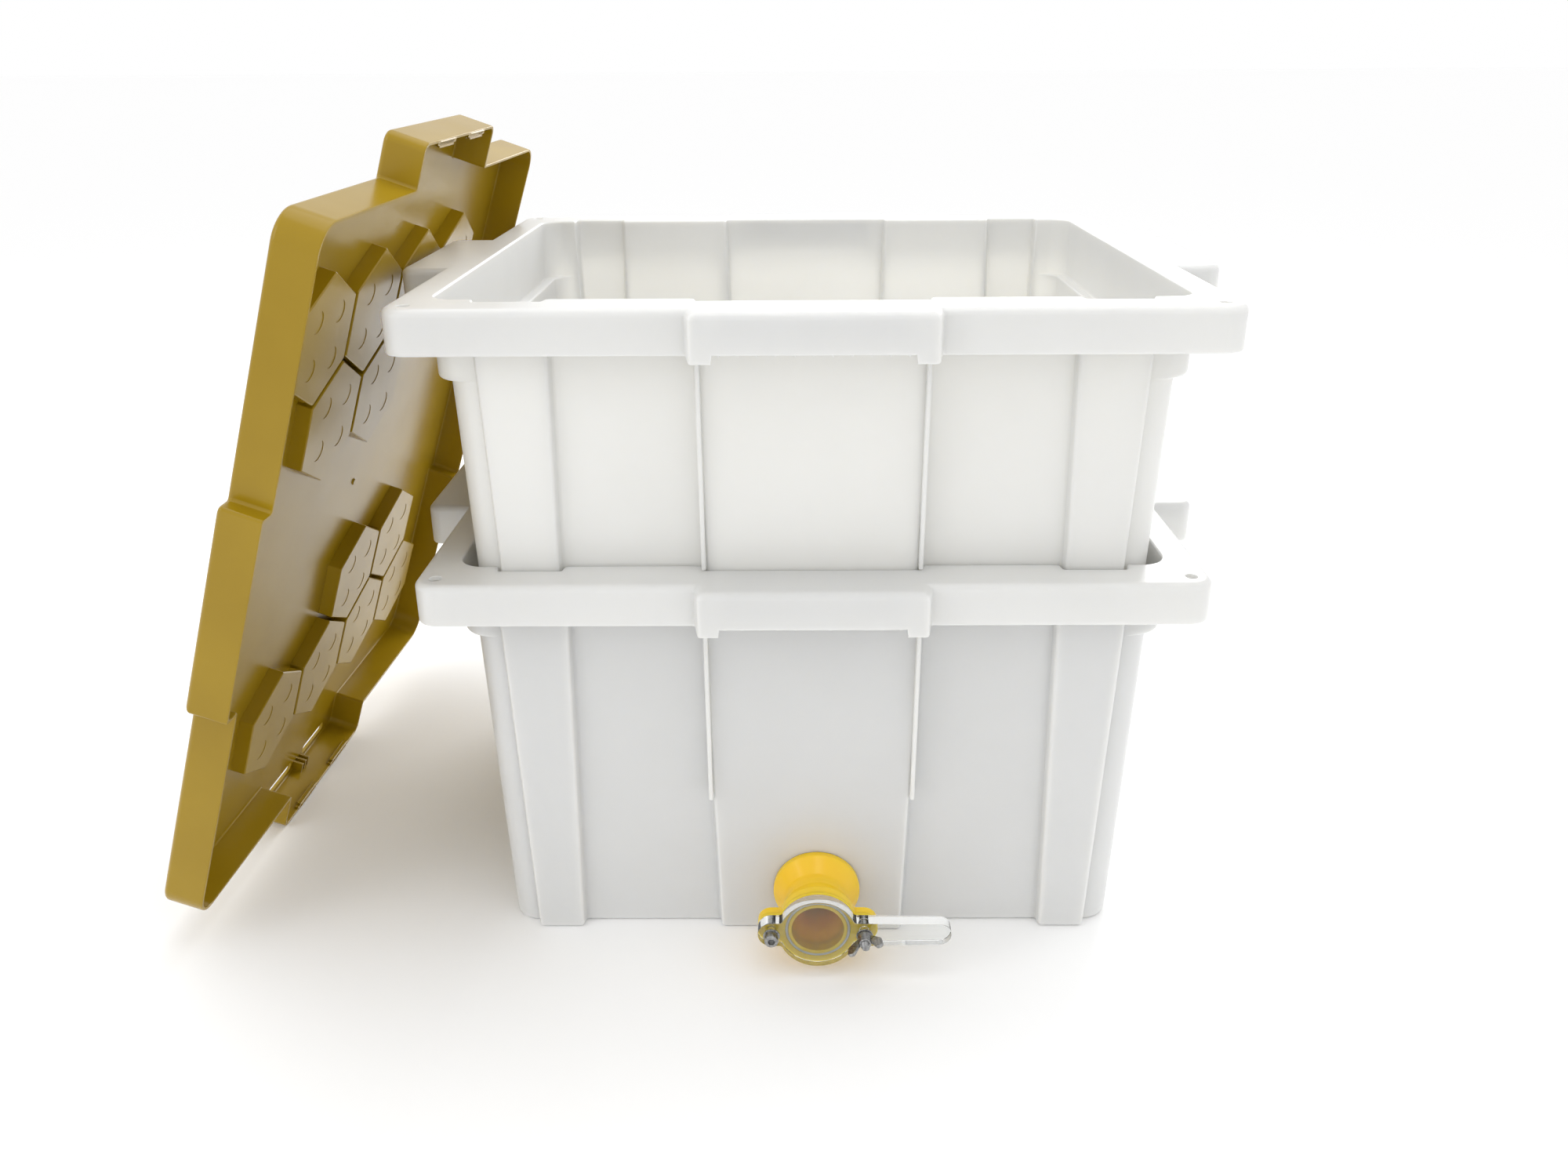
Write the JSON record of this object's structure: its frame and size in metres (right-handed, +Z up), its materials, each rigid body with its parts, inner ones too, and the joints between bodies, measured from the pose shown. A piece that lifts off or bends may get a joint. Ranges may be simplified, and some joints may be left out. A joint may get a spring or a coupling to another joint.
{
  "type": "honey frame tote kit",
  "caption": "Two nesting translucent totes for honey frames, with a lid leaning on one end and a swing-blade honey gate low in the front wall.",
  "frame": {"origin": "on the floor under the middle of the lower tote", "axes": "+X along the totes' length, away from the lid; -Y is the front with the gate; +Z up"},
  "size_m": [0.7838, 0.5113, 0.5881],
  "materials": {
    "tote_plastic": "satin translucent natural white polyethylene",
    "lid_plastic": "satin gold polyethylene",
    "gate_plastic": "glossy yellow nylon",
    "clear_acrylic": "polished clear acrylic",
    "seal_rubber": "matte soft silicone",
    "steel": "plain stainless steel"
  },
  "bodies": {
    "base": {"lower_tote": "tote_plastic", "gate_body": "gate_plastic", "gate_gasket": "seal_rubber", "gate_lock_nut": "gate_plastic", "gate_seal": "seal_rubber", "pivot_bolt": "steel", "pivot_washer": "steel", "pivot_nut": "steel", "clamp_bolt": "steel", "clamp_washer": "steel"},
    "upper": {"upper_tote": "tote_plastic"},
    "cover": {"lid": "lid_plastic"},
    "blade": {"gate_blade": "clear_acrylic"},
    "wing": {"wing_nut": "steel"}
  },
  "joints": [
    {"name": "upper_tote_lift", "type": "slide", "parent": "base", "child": "upper", "axis": [0, 0, 1], "range_m": [0, 0.2]},
    {"name": "lid_slide", "type": "slide", "parent": "base", "child": "cover", "axis": [-1, 0, 0], "range_m": [0, 0.2]},
    {"name": "gate_swing", "type": "hinge", "parent": "base", "child": "blade", "pos_m": [-0.0294, -0.2451, 0.039], "axis": [0, -1, 0], "range_deg": [0, 92]},
    {"name": "wing_turn", "type": "hinge", "parent": "base", "child": "wing", "pos_m": [0.0374, -0.2576, 0.039], "axis": [0, -1, 0], "continuous": true}
  ],
  "couplings": [
    {"joint": "lid_slide", "follows": "upper_tote_lift", "ratio": 1}
  ]
}
